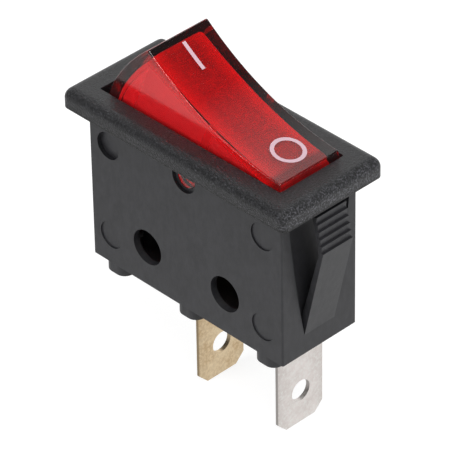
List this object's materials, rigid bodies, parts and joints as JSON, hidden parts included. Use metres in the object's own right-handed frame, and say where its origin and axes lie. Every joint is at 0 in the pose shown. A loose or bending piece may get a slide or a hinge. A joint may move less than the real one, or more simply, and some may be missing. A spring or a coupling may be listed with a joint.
{
  "type": "panel rocker switch",
  "caption": "Snap-in panel rocker switch with a translucent rocker, a bezel and two blade terminals; tips between on and off.",
  "frame": {"origin": "centre of the bezel's underside, on the plane that seats on the panel", "axes": "+Z out of the panel, +X along the switch towards the O end, blades along -Z"},
  "size_m": [0.0322, 0.0138, 0.039],
  "materials": {
    "black_plastic": "fine spark-eroded texture on the bezel, satin body",
    "red_plastic": "clear red tint, polished, textured inside",
    "white_plastic": "natural nylon",
    "spring_steel": "drawn wire",
    "brass": "pale rolled brass, slightly dulled",
    "silver": "silver contact",
    "tinned_brass": "matt tin plating"
  },
  "bodies": {
    "housing": {"housing": "black_plastic", "centre_terminal": "brass", "end_terminal": "tinned_brass", "fixed_contact": "silver"},
    "rocker": {"rocker": "red_plastic", "plunger_spring": "spring_steel"},
    "plunger": {"plunger": "white_plastic"},
    "lever": {"contact_lever": "brass", "moving_contact": "silver"}
  },
  "joints": [
    {"name": "rocker_tilt", "type": "hinge", "parent": "housing", "child": "rocker", "pos_m": [0, 0, -0.0021], "axis": [0, -1, 0], "range_deg": [0, 42.4]},
    {"name": "plunger_slide", "type": "slide", "parent": "rocker", "child": "plunger", "axis": [0.3616, 0, 0.9323], "range_m": [0, 0.0012], "stiffness_N_per_m": 400, "springref_m": -0.003, "deforming": ["plunger_spring"]},
    {"name": "lever_tilt", "type": "hinge", "parent": "housing", "child": "lever", "pos_m": [0, 0, -0.0125], "axis": [0, 1, 0], "range_deg": [0, 16]}
  ],
  "couplings": [
    {"joint": "lever_tilt", "follows": "rocker_tilt", "ratio": 0.37736}
  ]
}
